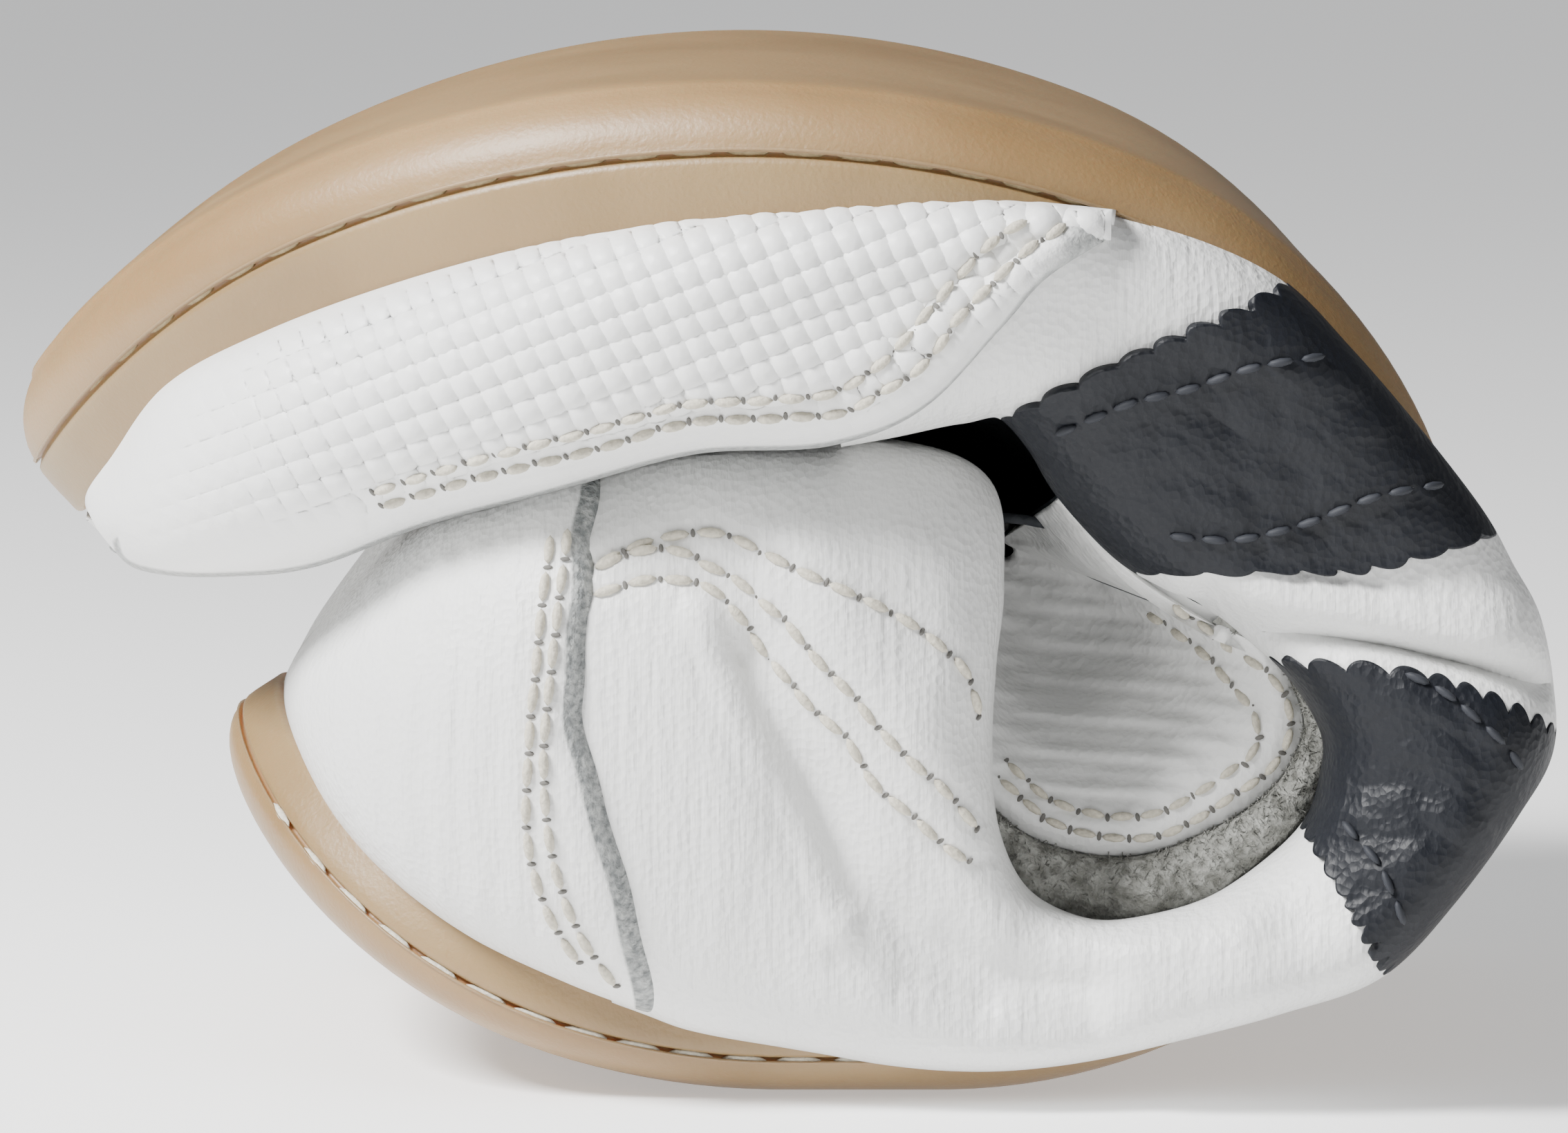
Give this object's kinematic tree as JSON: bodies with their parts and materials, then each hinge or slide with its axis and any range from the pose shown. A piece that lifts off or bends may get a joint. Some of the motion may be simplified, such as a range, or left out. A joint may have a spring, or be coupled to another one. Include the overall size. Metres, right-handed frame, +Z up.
{
  "type": "rolled leather sneaker",
  "caption": "Low-cut leather sneaker with a stitched gum-rubber cup sole, rolled up heel to toe with the sole outside.",
  "frame": {"origin": "bottom centre of the object's box, on the surface that the rolled sole rests on", "axes": "+Z up; +X across the roll towards the bend in the sole, with the toe and heel at -X; +Y across the shoe towards its medial side"},
  "size_m": [0.117, 0.104, 0.0873],
  "materials": {
    "rubber": "satin translucent gum rubber",
    "white_leather": "white smooth grain, semi-gloss",
    "embossed_leather": "white, embossed with small pyramids",
    "navy_leather": "dark navy, creased, soft sheen",
    "lining": "matt knit",
    "foam": "raw, fuzzy",
    "board": "matt fibre board",
    "cream_thread": "waxed twisted thread",
    "navy_thread": "twisted thread"
  },
  "bodies": {
    "root": {"outsole": "rubber", "vamp": "white_leather", "quarter_lateral": "white_leather", "quarter_medial": "white_leather", "counter_cover": "white_leather", "tongue_face": "white_leather", "toe_mudguard": "embossed_leather", "stripe_front_lateral": "navy_leather", "stripe_front_medial": "navy_leather", "stripe_rear_lateral": "navy_leather", "stripe_rear_medial": "navy_leather", "vamp_lining": "lining", "quarter_lining_lateral": "lining", "quarter_lining_medial": "lining", "collar_lining": "lining", "tongue_back": "lining", "sock_liner": "lining", "foam_filler": "foam", "collar_foam": "foam", "tongue_foam": "foam", "insole_board": "board", "heel_stiffener": "board", "toe_puff": "board", "sole_thread": "cream_thread", "mudguard_thread_outer": "cream_thread", "mudguard_thread_inner": "cream_thread", "counter_thread_front_lateral": "cream_thread", "counter_thread_back_lateral": "cream_thread", "counter_thread_front_medial": "cream_thread", "counter_thread_back_medial": "cream_thread", "quarter_thread_upper_lateral": "cream_thread", "quarter_thread_middle_lateral": "cream_thread", "quarter_thread_lower_lateral": "cream_thread", "quarter_thread_upper_medial": "cream_thread", "quarter_thread_middle_medial": "cream_thread", "quarter_thread_lower_medial": "cream_thread", "tongue_thread_outer_lateral": "cream_thread", "tongue_thread_inner_lateral": "cream_thread", "tongue_thread_outer_medial": "cream_thread", "tongue_thread_inner_medial": "cream_thread", "stripe_front_thread_fore_lateral": "navy_thread", "stripe_front_thread_aft_lateral": "navy_thread", "stripe_rear_thread_fore_lateral": "navy_thread", "stripe_rear_thread_aft_lateral": "navy_thread", "stripe_front_thread_fore_medial": "navy_thread", "stripe_front_thread_aft_medial": "navy_thread", "stripe_rear_thread_fore_medial": "navy_thread", "stripe_rear_thread_aft_medial": "navy_thread"}
  },
  "joints": []
}
